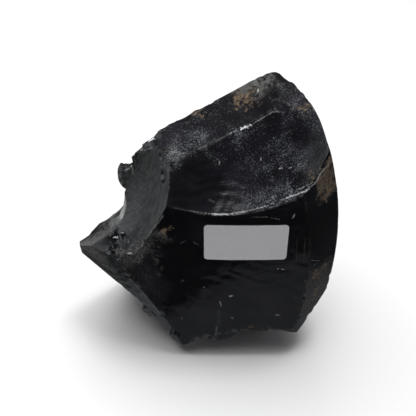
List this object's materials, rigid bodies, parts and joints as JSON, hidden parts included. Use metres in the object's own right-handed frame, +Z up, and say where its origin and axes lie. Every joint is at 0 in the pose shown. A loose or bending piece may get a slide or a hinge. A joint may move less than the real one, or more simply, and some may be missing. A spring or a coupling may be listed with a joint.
{
  "type": "obsidian chunk with a sticker",
  "caption": "Broken chunk of black volcanic glass with shell-shaped fracture scars, a pointed spike on its left and a blank paper sticker on its front face.",
  "frame": {"origin": "middle of the object's bounding box at the level of the flat scar that it rests on", "axes": "+Z up, -Y out of the front face that carries the sticker, -X towards the spike"},
  "size_m": [0.1273, 0.0803, 0.1414],
  "materials": {
    "obsidian": "gloss",
    "sticker_paper": "matte"
  },
  "bodies": {
    "root": {"obsidian_chunk": "obsidian", "paper_sticker": "sticker_paper"}
  },
  "joints": []
}
